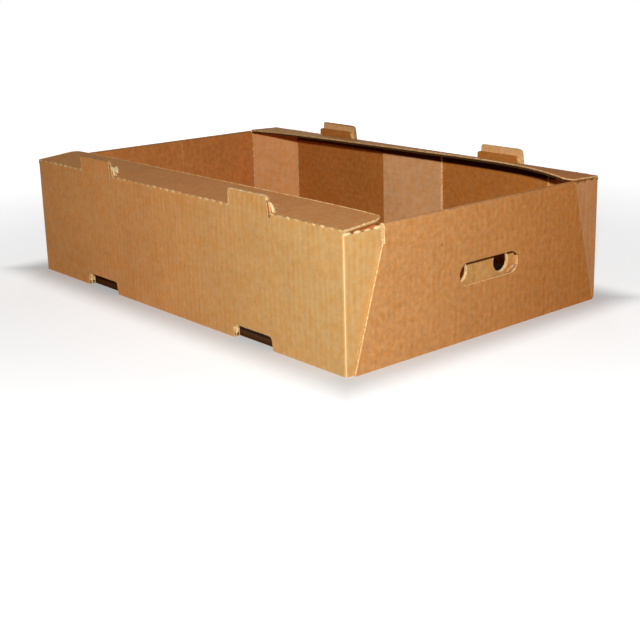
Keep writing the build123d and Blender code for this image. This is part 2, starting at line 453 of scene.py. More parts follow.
def painted_shade_behind_notches(bench, spot):
    """Painted shade on the base just inside the front wall's notches, under the ledge."""
    beside = 0.0
    for centre in TAB_CENTRES[-1]:
        off_notch = bench.off(spot["X"], centre)
        near = bench.without(bench.step(off_notch, NOTCH_FOOT / 2 + 6, NOTCH_FOOT / 2 + 26))
        beside = bench.either(beside, near)
    on_base = bench.under(spot["Z"], BOARD + HAIR)
    return bench.both(beside, on_base, bench.step(spot["Y"], -138.0, -160.0))


def pale_lines(bench, spot):
    """The scored line inside the left end wall, and the worn slanting edge at the back."""
    seam = bench.both(
        bench.near(spot["X"], -FLOOR_HALF_X, HAIR),
        bench.without(bench.step(bench.off(spot["Y"], SEAM_Y), 0.3, 1.6)),
        bench.step(spot["Z"], 85.0, 125.0),
    )
    lean = (END_FOOT_Y - ROLL_HALF - END_LAP) / ROLL_HEIGHT
    in_from_edge = bench.scale_add(spot["Z"], lean, spot["Out Y"])
    in_from_edge = bench.minus(END_FOOT_Y, in_from_edge)
    worn = bench.both(
        bench.over(spot["Y"], 0.0),
        bench.over(spot["Face X"], SQUARELY),
        bench.over(spot["Out X"], HALF_LENGTH - HAIR),
        bench.without(bench.step(in_from_edge, 0.7, 1.9)),
    )
    return bench.times(bench.either(bench.times(seam, 0.7), worn), 0.28)


def body_board():
    """Board of the body blank: brown side inwards and out on the end walls, light side in the slots."""
    made, bench = new_material("body_board")
    spot = bench.use(PLACE)
    end_wall = bench.over(spot["Out X"], FLOOR_HALF_X - HAIR)
    long_ply = bench.both(bench.over(spot["Out Y"], INNER_FACE_Y - HAIR), bench.without(end_wall))
    ply_face = bench.both(long_ply, bench.over(spot["Face Y"], FACING))
    roll_top = bench.both(bench.over(spot["Z"], ROLL_HEIGHT), bench.under(spot["Face Y"], FACING))
    end_cut = bench.less(bench.both(end_wall, bench.under(spot["Face X"], FACING)), roll_top)
    behind_slot, slot_cut, slot_shade = slot_places(bench, spot, end_cut)

    # Cut edges of the outer end ply beside the roll, and of the roll itself
    beside_roll = bench.both(end_cut, bench.over(spot["Out Y"], ROLL_HALF - 6.0))
    crushed = bench.both(
        beside_roll,
        bench.between(spot["Out X"], CORNER_X, CORNER_X + 1.9),
        bench.under(spot["Z"], END_STEP_Z - 0.2),
    )
    roll_end = bench.both(
        beside_roll, bench.over(spot["Face Y"], SQUARELY), bench.over(spot["Z"], END_STEP_Z)
    )
    end_cut = bench.less(bench.less(end_cut, crushed), slot_cut, 0.55)

    # Cut edges of the inner ply and its short tabs
    ply_cut = bench.both(
        long_ply, bench.under(spot["Face Y"], FACING), bench.over(spot["Z"], BOARD + HAIR)
    )
    upwards = bench.over(spot["Face Z"], FACING)
    tab_top = bench.both(upwards, bench.over(spot["Z"], ROLL_HEIGHT + 1.0))
    # Painted shade on the inner ply's top edge, in the gap under the ledge
    painted_ply_top_shade = bench.both(ply_cut, upwards, bench.between(spot["Z"], PLY_TOP - 0.3, ROLL_HEIGHT + 1.0))
    ply_cut = bench.less(ply_cut, tab_top, 0.7)

    # Colours, each over the one before
    inner = bench.blend(end_wall, INNER_LINER, INNER_END_LINER)
    colour = bench.blend(bench.under(spot["Out X"], FLOOR_HALF_X + HAIR), BROWN_LINER, inner)
    rolled = bench.both(
        end_wall, bench.over(spot["Z"], ROLL_HEIGHT + 0.5), bench.over(spot["Face Z"], 0.45)
    )
    colour = bench.blend(rolled, colour, bench.tint(colour, ROLL_TINT))
    # The base's top takes a lighter liner than the inner one, to make up for the dim light there:
    # painted light
    base = bench.both(
        upwards, bench.between(spot["Z"], 0.5, BOARD + 0.2), bench.under(spot["Out X"], FLOOR_HALF_X)
    )
    for place, liner in ((base, LIGHTENED_BASE_LINER), (behind_slot, SLOT_LINER), (crushed, CRUSHED_LINER)):
        colour = bench.blend(place, colour, liner)

    # Painted shade under the ledge, on the inner ply's top edge, at the foot of the back wall, in the
    # slots and behind the notches; and one dark speck on the end wall
    under_ledge = bench.both(
        ply_face, painted_ledge_shadow(bench, spot), bench.under(spot["Z"], ROLL_HEIGHT + 1.0)
    )
    # Painted shade: the back wall's inner face grows darker towards its foot
    painted_back_foot_shade = bench.both(
        ply_face,
        bench.between(spot["Y"], 0.0, FLOOR_HALF_Y),
        bench.minus(0.75, bench.step(spot["Z"], 18.0, 45.0), clamp=True),
    )
    off_speck = bench.step(bench.distance(spot["Place"], END_SPECK), 0.9, 2.6)
    speck = bench.times(bench.minus(0.7, off_speck, clamp=True), 0.5)
    notches = painted_shade_behind_notches(bench, spot)
    painted_shade_and_marks = bench.either(under_ledge, painted_ply_top_shade, notches, slot_shade, painted_back_foot_shade, speck)

    along = bench.choose(long_ply, spot["Y"], spot["Z"])
    depth = bench.calc("MODULO", bench.choose(end_wall, spot["Out Y"], spot["Out X"]), BOARD)
    cut = (bench.either(end_cut, ply_cut), depth, along, bench.choose(roll_end, 0.85, 1.0))
    looks = (bench.choose(end_wall, 0.03, 0.012), 1.5, BODY_LIGHT_TINTS)
    dress_board(bench, spot, colour, along, cut, pale_lines(bench, spot), looks, painted_shade_and_marks)
    return made


def post_places(bench, spot):
    """Slanting corner posts: their faces, their top edge, and the run and depth in their board."""
    inside_wall = bench.under(spot["Out Y"], FLOOR_HALF_Y)
    face = bench.both(
        inside_wall, bench.over(spot["Face X"], ASLANT), bench.over(spot["Face Y"], ASLANT)
    )
    top = bench.both(
        inside_wall,
        bench.over(spot["Face Z"], FACING),
        bench.near(spot["Z"], PLY_TOP, 0.2),
        bench.under(spot["Out X"], FLOOR_HALF_X),
    )
    in_x = bench.minus(CORNER_X, spot["Out X"])
    past_crease = bench.minus(spot["Out Y"], CREASE_Y)
    cosine, sine = math.cos(POST_ANGLE), math.sin(POST_ANGLE)
    run = bench.scale_add(in_x, cosine, bench.times(past_crease, sine))
    depth = bench.scale_add(in_x, -sine, bench.times(past_crease, cosine))
    return face, top, run, depth


def depth_in_ledge(bench, spot, at_back):
    """Height within a ledge's board, from its underside, which rises as the ledge has sprung."""
    share = bench.calc("DIVIDE", spot["X"], LEDGE_RAW_HALF)
    bow = bench.without(bench.calc("POWER", bench.calc("ABSOLUTE", share), LEDGE_POWER))
    end_rise, spring, skew = [
        bench.choose(at_back, size[-1], size[1]) for size in (LEDGE_END_RISE, LEDGE_SPRING, LEDGE_SKEW)
    ]
    spring = bench.minus(bench.scale_add(skew, share, spring), end_rise)
    rise = bench.scale_add(bow, spring, end_rise)
    inwards = bench.minus(FLOOR_HALF_Y, spot["Out Y"])
    inwards = bench.calc("DIVIDE", inwards, LEDGE_RAW_WIDTH)
    return bench.minus(spot["Z"], bench.scale_add(rise, inwards, ROLL_HEIGHT))


def panel_board():
    """Board of the side panels: long walls, ledges, tabs, end flaps and corner posts."""
    made, bench = new_material("panel_board")
    spot = bench.use(PLACE)
    at_back = bench.over(spot["Y"], 0.0)
    upwards = bench.over(spot["Face Z"], FACING)
    sideways = bench.under(spot["Face Z"], FACING)
    end_flap = bench.both(
        bench.over(spot["Out X"], FLOOR_HALF_X - HAIR), bench.under(spot["Z"], PLY_TOP + HAIR)
    )
    post, post_top, post_run, post_depth = post_places(bench, spot)

    # Cut edges of the wall, the end flaps, the ledge and the posts
    fold_top = bench.both(
        bench.between(spot["Z"], ROLL_HEIGHT, WALL_HEIGHT + 3.0), bench.over(spot["Face Z"], 0.3)
    )
    wall_cut = bench.both(
        bench.over(spot["Out Y"], FLOOR_HALF_Y - HAIR), bench.under(spot["Face Y"], FACING)
    )
    wall_cut = bench.less(bench.less(wall_cut, fold_top), bench.both(end_flap, sideways))
    flap_cut = bench.both(end_flap, bench.under(spot["Face X"], FACING), upwards)
    ledge = bench.both(
        bench.over(spot["Z"], ROLL_HEIGHT - HAIR), bench.under(spot["Out Y"], FLOOR_HALF_Y)
    )
    ledge_cut = bench.both(ledge, sideways)
    at_end = bench.over(spot["Out X"], LEDGE_HALF - 1.0)
    ledge_end = bench.both(ledge_cut, at_end)
    ledge_depth = depth_in_ledge(bench, spot, at_back)
    below = bench.without(bench.step(ledge_depth, 1.6, 2.4))
    end_below = bench.both(ledge_end, below)
    cut_mask = bench.either(wall_cut, flap_cut, ledge_cut, post_top)
    cut_mask = bench.less(bench.less(cut_mask, bench.both(ledge_end, at_back), 0.75), end_below)

    # Run along the flutes' waves and depth into the board
    along = bench.choose(end_flap, spot["X"], spot["Y"])
    along = bench.choose(bench.either(post, post_top), along, post_run)
    depth = bench.calc("MODULO", bench.choose(end_flap, spot["Out Y"], spot["Out X"]), BOARD)
    depth = bench.choose(ledge_cut, depth, ledge_depth)
    depth = bench.choose(post_top, depth, post_depth)

    # Tints of single places over the light liner
    # The ledges' tints drift with the distance from the near right corner, where the key lamp falls
    # brightest: painted light
    ledge_tint, back_ledge_tint = [
        bench.blend(bench.step(spot["Away"], *drift), *tints)
        for drift, tints in ((LEDGE_DRIFT, LEDGE_LIGHT_TINTS), (BACK_LEDGE_DRIFT, BACK_LEDGE_LIGHT_TINTS))
    ]
    above_fold = bench.over(spot["Z"], WALL_HEIGHT + 0.5)
    back_tab = bench.both(bench.over(spot["Y"], FLOOR_HALF_Y - HAIR), above_fold)
    front_tab = bench.both(bench.under(spot["Y"], -FLOOR_HALF_Y), above_fold)
    far_flap = bench.both(
        bench.over(spot["X"], CORNER_X - 0.2), at_back, bench.over(spot["Face X"], SQUARELY)
    )
    colour = LIGHT_LINER
    for place, tint in (
        (post, POST_TINT),
        (ledge, bench.blend(at_back, ledge_tint, back_ledge_tint)),
        (back_tab, BACK_TAB_TINT),
        (far_flap, FAR_FLAP_TINT),
        (front_tab, FRONT_TAB_TINT),
    ):
        colour = bench.blend(place, colour, bench.tint(LIGHT_LINER, tint))
    # The lower half of each ledge end takes the colour of the shaded gap under it: painted shade
    colour = bench.blend(end_below, colour, LEDGE_END_SHADE)

    # Painted shade under the ledge on the inner face and on the lower half of the back ledge's free
    # edge, the dark core of the nick, and pale lines along the corner folds and round the nick
    inner_face = bench.both(
        bench.over(spot["Face Y"], FACING),
        bench.near(spot["Out Y"], FLOOR_HALF_Y, HAIR),
        bench.under(spot["Z"], ROLL_HEIGHT + 0.5),
    )
    off_nick = bench.distance(spot["Place"], LEDGE_NICK)
    nick_core = bench.times(bench.without(bench.step(off_nick, 0.8, 1.8)), 0.65)
    nick_rim = bench.both(bench.step(off_nick, 1.5, 2.0), bench.without(bench.step(off_nick, 2.6, 3.4)))
    painted_shade_and_marks = bench.either(
        nick_core,
        # painted shade on the lower half of the back ledge's free edge
        bench.both(ledge_cut, at_back, bench.without(at_end), below),
        bench.both(inner_face, painted_ledge_shadow(bench, spot)),
    )
    corner = bench.both(
        bench.over(spot["Out X"], CORNER_X - 1.1),
        bench.over(spot["Out Y"], HALF_WIDTH - 1.3),
        bench.under(spot["Z"], PLY_TOP),
    )
    pale = bench.either(corner, bench.times(nick_rim, 0.5))
    cut = (cut_mask, depth, along, bench.times(at_end, 0.7))
    dress_board(bench, spot, colour, along, cut, pale, (0.028, 0.65, PANEL_LIGHT_TINTS), painted_shade_and_marks)
    return made


def stiffener_board():
    """Board of the short stiffeners, with its flutes lying along the wall."""
    made, bench = new_material("stiffener_board")
    spot = bench.use(PLACE)
    depth = bench.calc("MODULO", spot["Out Y"], BOARD)
    cut = (bench.under(spot["Face Y"], FACING), depth, spot["Z"], 0.8)
    # Painted shadow under the ledge on the stiffener's face
    painted_shade_and_marks = bench.both(bench.over(spot["Face Y"], FACING), painted_ledge_shadow(bench, spot))
    dress_board(bench, spot, LIGHT_LINER, spot["Z"], cut, 0.0, (0.03, 0.8, STIFFENER_TINTS), painted_shade_and_marks)
    return made


finishes = {
    "tray_body": body_board(),
    "side_panel_front": panel_board(),
    "stiffener_front": stiffener_board(),
}
finishes["side_panel_back"] = finishes["side_panel_front"]
finishes["stiffener_back"] = finishes["stiffener_front"]
for node_name, finish in finishes.items():
    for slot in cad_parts[node_name].material_slots:
        slot.material = finish


def millimetres(points):
    """Points drawn in millimetres, as the metres that the scene is built in."""
    return [Vector(point) / 1000 for point in points]


def ledge_point(side, x, out_y, depth=BOARD / 2):
    """A point in a ledge's board; depth counts from its underside."""
    share = max(-1.0, min(1.0, x / LEDGE_RAW_HALF))
    end_rise = LEDGE_END_RISE[side]
    spring = LEDGE_SPRING[side] - end_rise + LEDGE_SKEW[side] * share
    rise = end_rise + spring * (1 - share**LEDGE_POWER)
    inwards = max(0.0, FLOOR_HALF_Y - out_y) / LEDGE_RAW_WIDTH
    return (x, side * out_y, ROLL_HEIGHT + rise * inwards + depth)


def rounded(corners, radii, steps=6):
    """An open outline in a plane with its inner corners rounded; the radii go with those corners."""
    outline = [Vector(corners[0])]
    for before, corner, after, radius in zip(corners, corners[1:], corners[2:], radii):
        corner = Vector(corner)
        into = (Vector(before) - corner).normalized()
        away = (Vector(after) - corner).normalized()
        reach = radius / math.tan(into.angle(away) / 2) if radius else 0.0
        start, end = corner + into * reach, corner + away * reach
        for step in range(steps + 1):
            share = step / steps
            first, second = start.lerp(corner, share), corner.lerp(end, share)
            outline.append(first.lerp(second, share))
    outline.append(Vector(corners[-1]))
    return outline


def divided(outline, longest):
    """The same outline with no run longer than the given length."""
    finer = [outline[0]]
    for start, end in zip(outline, outline[1:]):
        parts = max(1, math.ceil((end - start).length / longest))
        finer += [start.lerp(end, part / parts) for part in range(1, parts + 1)]
    return finer


def tab_outline(centre, foot, lean, rise, corner, base, skirt):
    """Side view of one tab: upright edge on the left, leaning edge on the right."""
    left, right = centre - foot / 2, centre + foot / 2
    corners = [(left, base - skirt), (left, base + rise), (right - lean, base + rise)]
    corners += [(right, base), (right, base - skirt)]
    return rounded(corners, (UPRIGHT_CORNER, corner, 0.0))


def tall_tab(centre, skirt=0.0):
    return tab_outline(centre, TAB_FOOT, TAB_LEAN, TAB_RISE, TAB_CORNER, WALL_HEIGHT, skirt)


def upright(outline, y):
    """An outline of x and z points, stood up in the plane at y, with the direction across the board."""
    return ([(point.x, y, point.y) for point in divided(outline, LONGEST)], ACROSS_WALL)


def post_line(x, y):
    """An upright cut edge of a ply, from the base to the ply's top."""
    return upright([Vector((x, BOARD + 0.5)), Vector((x, PLY_TOP))], y)


def tab_edge(side, centre):
    """Pressed top and left edge of one tall tab, near the face that shows."""
    outline = tall_tab(centre)
    if side < 0:
        return upright(outline[:-RIGHT_EDGE], side * (HALF_WIDTH - 1.3))
    return upright(outline[:-1], side * (FLOOR_HALF_Y + 1.3))


def ply_edges(side):
    """Edges of the inner ply and the stiffener, where the die has pressed the liners together."""
    inner = side * (INNER_FACE_Y + BOARD / 2)
    lines = []
    if side > 0:
        for centre in SHORT_CENTRES[side]:
            shape = (SHORT_FOOT, SHORT_LEAN, SHORT_RISE, SHORT_CORNER)
            short = tab_outline(centre, *shape, WALL_HEIGHT, 0.0)
            lines.append(upright(short[1 - RIGHT_EDGE:-1], inner - side * 0.7))
    lines += [post_line(x, inner) for x in LINER_ENDS]
    lines += [post_line(x, inner - side * BOARD) for x in STIFFENER_ENDS]
    return lines


def wall_cuts(side):
    """Fluted edges of one long wall: the front tabs' right edges and the notches in both plies."""
    outer, inner = side * (FLOOR_HALF_Y + BOARD / 2), side * (INNER_FACE_Y + BOARD / 2)
    lines = []
    for centre in TAB_CENTRES[side]:
        if side < 0:
            lines.append(upright(tall_tab(centre, 1.0)[-RIGHT_EDGE:], outer))
        notch = tab_outline(centre, NOTCH_FOOT, TAB_LEAN, NOTCH_HEIGHT, TAB_CORNER, 0.0, -0.5)
        lines += [upright(notch, outer), upright(notch, inner)]
    return lines


def on_ledge(side, corners, radii, *depth):
    """A line on one ledge, from its corners in plan."""
    outline = divided(rounded(corners, radii), LONGEST)
    return ([ledge_point(side, point.x, point.y, *depth) for point in outline], ACROSS_LEDGE)


def ledge_cuts(side):
    """Edges of the cut-outs that the tabs leave in one ledge."""
    lines = []
    near_y, far_y = INNER_FACE_Y - 0.5, HALF_WIDTH - TAB_RISE - 0.5
    for centre in TAB_CENTRES[side]:
        left, right = centre - TAB_FOOT / 2, centre + TAB_FOOT / 2
        corners = [(left, near_y), (left, far_y)]
        corners += [(right - TAB_LEAN, far_y), (right - TAB_LEAN / 2, near_y)]
        lines.append(on_ledge(side, corners, (UPRIGHT_CORNER, TAB_CORNER)))
    return lines


def ledge_rim(side):
    """Upper lip of one ledge's free edge and ends, which the die has crushed thin."""
    start_y = HALF_WIDTH - 1.0
    corners = [(-LEDGE_HALF, start_y), (-LEDGE_HALF, LEDGE_EDGE_Y)]
    corners += [(LEDGE_HALF, LEDGE_EDGE_Y), (LEDGE_HALF, start_y)]
    return on_ledge(side, corners, (LEDGE_CORNER, LEDGE_CORNER), BOARD - RIM_DEPTH[side])


def corner_cuts(end, side):
    """Pressed edges at one corner: the post's free edge and the outer end ply's side and roll."""
    sine, cosine = math.sin(POST_ANGLE), math.cos(POST_ANGLE)
    post_x = end * (POST_FOOT[0] + BOARD / 2 * sine - 0.1)
    post_y = side * (POST_FOOT[1] + BOARD / 2 * cosine + 0.05)
    post = [(post_x, post_y, BOARD + 0.5), (post_x, post_y, PLY_TOP - 0.3)]
    outer_liner = BOARD - 0.9
    x, roll_y = end * (CORNER_X + outer_liner), side * ROLL_HALF
    if side < 0:
        side_edge = [(x, side * (ROLL_HALF + END_STEP), END_STEP_Z), (x, roll_y, END_STEP_Z)]
    else:
        side_edge = [(x, side * (ROLL_HALF + END_LAP), ROLL_HEIGHT)]
    roll = [(x, roll_y, side_edge[-1][2])]
    for step in range(5):
        swing = math.pi * step / 8
        reach, rise = outer_liner * math.cos(swing), outer_liner * math.sin(swing)
        roll.append((end * (CORNER_X + reach), roll_y, ROLL_HEIGHT + rise))
    side_edge.insert(0, (x, side * END_FOOT_Y, 0.5))
    return [(post, (end * sine, side * cosine, 0.0)), (side_edge, ACROSS_END), (roll, ACROSS_END)]


def slot_rim(end):
    """Rim of the hand slot, without its top edge."""
    radius = SLOT_SIZE[1] / 2
    straight = SLOT_SIZE[0] / 2 - radius
    x = end * (CORNER_X + BOARD * 0.80)
    rim = []
    for step in range(4, 41):
        swing = math.pi / 2 + math.tau * step / 48
        y = SLOT_MIDDLE[0] + math.copysign(straight, math.cos(swing)) + radius * math.cos(swing)
        rim.append((x, y, SLOT_MIDDLE[1] + radius * math.sin(swing)))
    return (rim, ACROSS_END)


def hole_rims(end):
    """Rims of the two finger holes behind the hand slot."""
    x = end * (FLOOR_HALF_X + BOARD / 2)
    radius = FINGER_HOLE_RADIUS
    swings = [math.tau * step / 24 for step in range(25)]
    ring = [(radius * math.cos(swing), radius * math.sin(swing)) for swing in swings]
    return [([(x, y + out, z + up) for out, up in ring], ACROSS_END) for y, z in FINGER_HOLES]


def line_mesh(name, lines):
    """Loose polylines with the direction across the board kept on their points."""
    points, edges, across = [], [], []
    for line, direction in lines:
        first = len(points)
        points += millimetres(line)
        edges += [(first + step, first + step + 1) for step in range(len(line) - 1)]
        across += [direction] * len(line)
    mesh = bpy.data.meshes.new(name)
    mesh.from_pydata(points, edges, [])
    kept = mesh.attributes.new("across", "FLOAT_VECTOR", "POINT")
    kept.data.foreach_set("vector", [part for direction in across for part in direction])
    return mesh


def geometry_tree(name, inputs):
    """A geometry tree with a geometry socket each way and named sizes; returns its parts."""
    tree = bpy.data.node_groups.new(name, "GeometryNodeTree")
    tree.interface.new_socket("Geometry", in_out="INPUT", socket_type="NodeSocketGeometry")
    tree.interface.new_socket("Geometry", in_out="OUTPUT", socket_type="NodeSocketGeometry")
    for label, (kind, value) in inputs.items():
        socket = tree.interface.new_socket(label, in_out="INPUT", socket_type=kind)
        if value is not None:
            socket.default_value = value
    bench = Bench(tree)
    return tree, bench, bench.node("NodeGroupInput").outputs, bench.node("NodeGroupOutput").inputs


def scaled(bench, vector, factor):
    made = bench.node("ShaderNodeVectorMath", {0: vector, "Scale": factor}, operation="SCALE")
    return made.outputs[0]


def finish_tree(bench, inn, out, geometry):
    """Ends a tree in real geometry with its paper on it."""
    real = bench.node("GeometryNodeRealizeInstances", {"Geometry": geometry})
    dressing = {"Geometry": real.outputs[0], "Material": inn["Paper"]}
    bench.feed(out["Geometry"], bench.node("GeometryNodeSetMaterial", dressing).outputs[0])


def fluted_edge_tree():
    """Cut board edges: two liner lips and the flute's wavy paper along every line."""
    size = "NodeSocketFloat"
    inputs = {
        "Flute pitch": (size, 0.008),
        "Wave height": (size, 0.00125),
        "Lip offset": (size, 0.0017),
        "Paper radius": (size, 0.0003),
        "Raggedness": (size, 0.0006),
        "Paper": ("NodeSocketMaterial", None),
    }
    tree, bench, inn, out = geometry_tree("fluted_edge", inputs)
    curve = bench.node("GeometryNodeMeshToCurve", {"Mesh": inn["Geometry"]}).outputs[0]
    across = bench.node("GeometryNodeInputNamedAttribute", {"Name": "across"}, data_type="FLOAT_VECTOR")
    length = bench.node("GeometryNodeSplineParameter").outputs["Length"]
    place = bench.node("GeometryNodeInputPosition").outputs[0]
    texture = {"Vector": place, "Scale": 220.0, "Detail": 1.0}
    ragged = bench.node("ShaderNodeTexNoise", texture).outputs[0]
    ragged = bench.times(bench.minus(ragged, 0.5), inn["Raggedness"])
    turn = bench.times(bench.calc("DIVIDE", length, inn["Flute pitch"]), math.tau)
    strands = (
        (0.001, bench.times(bench.calc("SINE", turn), inn["Wave height"])),
        (0.0025, bench.calc("ADD", inn["Lip offset"], ragged)),
        (0.0025, bench.minus(ragged, inn["Lip offset"])),
    )
    ring = {"Resolution": 5, "Radius": inn["Paper radius"]}
    profile = bench.node("GeometryNodeCurvePrimitiveCircle", ring).outputs[0]
    join = bench.node("GeometryNodeJoinGeometry")
    for spacing, offset in strands:
        every = {"Curve": curve, "Length": spacing}
        finer = bench.node("GeometryNodeResampleCurve", every, mode="LENGTH")
        shift = {"Geometry": finer.outputs[0], "Offset": scaled(bench, across.outputs[0], offset)}
        moved = bench.node("GeometryNodeSetPosition", shift).outputs[0]
        sweep = {"Curve": moved, "Profile Curve": profile, "Fill Caps": True}
        strand = bench.node("GeometryNodeCurveToMesh", sweep).outputs[0]
        tree.links.new(strand, join.inputs[0])
    finish_tree(bench, inn, out, join.outputs[0])
    return tree


def lip_tree():
    """Torn lips between the slits of a perforated fold, one at every pitch along the line."""
    size = "NodeSocketFloat"
    inputs = {
        "Pitch": (size, 0.0125),
        "Lip length": (size, 0.0090),
        "Lip height": (size, 0.0026),
        "Lip thickness": (size, 0.0017),
        "Seed": ("NodeSocketInt", 7),
        "Paper": ("NodeSocketMaterial", None),
    }
    tree, bench, inn, out = geometry_tree("fold_lips", inputs)
    curve = bench.node("GeometryNodeMeshToCurve", {"Mesh": inn["Geometry"]}).outputs[0]
    every = {"Curve": curve, "Length": inn["Pitch"]}
    spots = bench.node("GeometryNodeCurveToPoints", every, mode="LENGTH").outputs
    lip = bench.node("GeometryNodeMeshIcoSphere", {"Radius": 0.5, "Subdivisions": 2}).outputs[0]
    shape = bench.vector(inn["Lip length"], inn["Lip thickness"], inn["Lip height"])
    along = {"Vector": spots["Tangent"]}
    turn = bench.node("FunctionNodeAlignRotationToVector", along, axis="X", pivot_axis="Z")
    limits = {"Min": (0.6, 0.8, 0.5), "Max": (1.1, 1.2, 1.2), "Seed": inn["Seed"]}
    spread = bench.node("FunctionNodeRandomValue", limits, data_type="FLOAT_VECTOR")
    placing = {
        "Points": spots["Points"],
        "Instance": bench.node("GeometryNodeTransform", {"Geometry": lip, "Scale": shape}).outputs[0],
        "Rotation": turn.outputs[0],
        "Scale": spread.outputs[0],
    }
    finish_tree(bench, inn, out, bench.node("GeometryNodeInstanceOnPoints", placing).outputs[0])
    return tree


def grow(name, lines, tree, paper, sizes=None):
    """Runs a geometry tree over lines and keeps the result as one plain mesh piece."""
    seed_object = bpy.data.objects.new(name + "_lines", line_mesh(name + "_lines", lines))
    bpy.context.collection.objects.link(seed_object)
    modifier = seed_object.modifiers.new(name, "NODES")
    modifier.node_group = tree
    inputs = [item for item in tree.interface.items_tree if item.in_out == "INPUT"]
    sockets = {item.name: item.identifier for item in inputs}
    modifier[sockets["Paper"]] = paper
    for label, value in (sizes or {}).items():
        modifier[sockets[label]] = value
    evaluated = seed_object.evaluated_get(bpy.context.evaluated_depsgraph_get())
    mesh = bpy.data.meshes.new_from_object(evaluated)
    bpy.data.objects.remove(seed_object)
    return add_piece(name, mesh)


def add_piece(name, mesh):
    mesh.name = name
    piece = bpy.data.objects.new(name, mesh)
    bpy.context.collection.objects.link(piece)
    return piece


def keep_shape(name, shape, material):
    """Turns a finished bmesh shape into a piece."""
    bmesh.ops.recalc_face_normals(shape, faces=shape.faces)
    mesh = bpy.data.meshes.new(name)
    shape.to_mesh(mesh)
    shape.free()
    mesh.materials.append(material)
    return add_piece(name, mesh)


def raw_paper(name, darker, lighter):
    """Raw torn or cut paper: one tone going over into another in patches."""
    made, bench = new_material(name)
    spot = bench.use(PLACE)
    patch = bench.step(bench.noise(spot["Place"], 0.25, 2.0), 0.35, 0.65)
    grain = bench.noise(spot["Place"], 1.4, 2.0)
    colour = bench.blend(patch, darker, lighter)
    bright = bench.scale_add(grain, 0.3, 0.85)
    colour = bench.tint(colour, bench.grey(bright))
    finish_board(bench, colour, bench.scale_add(grain, 0.1, 0.78), grain, 0.0001)
    return made


def flap_top_lips(end, side, inwards, up, margin):
    """One liner of an end flap, scalloped along its top just under the ledge's end."""
    x, z = end * (CORNER_X - inwards), PLY_TOP + up
    line = [(x, side * (CREASE_Y + margin), z), (x, side * (HALF_WIDTH - margin), z)]
    return (line, ACROSS_END)


def torn_tab(side, centre):
    """The torn right edge of one short tab, hooked over its top: steps in from the right, and up."""
    right, y = centre + SHORT_FOOT / 2, side * (INNER_FACE_Y + BOARD / 2 + 0.5)
    hook = ((9.5, 9.4), (5.0, 9.8), (2.4, 6.0), (0.8, 1.8), (3.6, -0.2))
    return ([(right - inwards, y, WALL_HEIGHT + up) for inwards, up in hook], ACROSS_WALL)


def fold_runs(side, height, out, lag=0.0):
    """The perforated fold along the top of one long wall, between and beside the tabs."""
    stops = [-CORNER_X + 5.0]
    for centre in TAB_CENTRES[side]:
        stops += [centre - TAB_FOOT / 2 - 3.0, centre + TAB_FOOT / 2 + 5.0]
    stops.append(CORNER_X - 5.0)
    y, z = side * (HALF_WIDTH - out), WALL_HEIGHT - height
    runs = zip(stops[::2], stops[1::2])
    return [([(start + lag, y, z), (stop, y, z)], ACROSS_WALL) for start, stop in runs]


def crease_run(end, side):
    """The slit crease between one end flap and its slanting post."""
    x, y = end * (CORNER_X - 4.8), side * (CREASE_Y - 0.35)
    return ([(x, y, BOARD + 3.0), (x, y, PLY_TOP - 2.0)], ACROSS_END)


def crumpled_bits(name, lumps, material):
    """Small torn lumps of board: each is a middle, a reach each way and a seed."""
    shape = bmesh.new()
    for middle, reach, seed in lumps:
        for vertex in bmesh.ops.create_icosphere(shape, subdivisions=3, radius=1.0)["verts"]:
            fold = noise.noise(vertex.co * 1.6 + Vector((seed, 2.7 * seed, 0.0)))
            crinkle = noise.noise(vertex.co * 4.5 + Vector((0.0, seed, 3.1 * seed)))
            swell = 0.92 + 0.55 * fold - 0.30 * abs(crinkle)
            out = Vector([r * c for r, c in zip(reach, vertex.co)])
            vertex.co = (Vector(middle) + out * swell) / 1000
    return keep_shape(name, shape, material)


def slot_curl(end, material):
    """A curl of liner torn loose on the slot's lower rim."""
    shape = bmesh.new()
    rows = []
    for step in range(15):
        share = step / 14
        y = 34.5 + 15.5 * share
        middle_z = 61.8 + 5.6 * share + 1.0 * math.sin(math.pi * share)
        half = 2.7 * math.sin(math.pi * min(0.97, max(0.03, share))) ** 0.6
        row = []
        for across in (-1.0, -0.5, 0.0, 0.5, 1.0):
            lift = 1.3 * (1.0 - across**2) + 1.6 * share * max(0.0, across)
            point = (end * (CORNER_X + 2.6 + lift), y, middle_z + half * across)
            row.append(shape.verts.new([part / 1000 for part in point]))
        rows.append(row)
    for before, after in zip(rows, rows[1:]):
        for low in range(4):
            high = low + 1
            shape.faces.new((before[low], after[low], after[high], before[high]))
    bmesh.ops.recalc_face_normals(shape, faces=shape.faces)
    bmesh.ops.solidify(shape, geom=shape.faces[:], thickness=0.0006)
    return keep_shape("slot_curl_" + ("right" if end > 0 else "left"), shape, material)


def notch_lumps(side):
    """Torn board at the upright edge of each notch: a tall lump with a flat one on top."""
    lumps = []
    for number, centre in enumerate(TAB_CENTRES[side]):
        left, seed = centre - NOTCH_FOOT / 2, 3.0 + 2 * number + side
        lumps.append(((left + 2.0, side * (FLOOR_HALF_Y + 1.6), 8.5), (2.6, 2.2, 5.2), seed))
        lumps.append(((left + 3.4, side * (FLOOR_HALF_Y + 0.8), 13.2), (3.0, 2.4, 1.9), seed + 0.6))
    return lumps


def tab_lump(side):
    """Torn board beside the left short tab."""
    right = SHORT_CENTRES[side][0] + SHORT_FOOT / 2
    return ((right + 3.4, side * (INNER_FACE_Y + 2.6), 152.6), (5.0, 2.0, 4.6), 1.5)


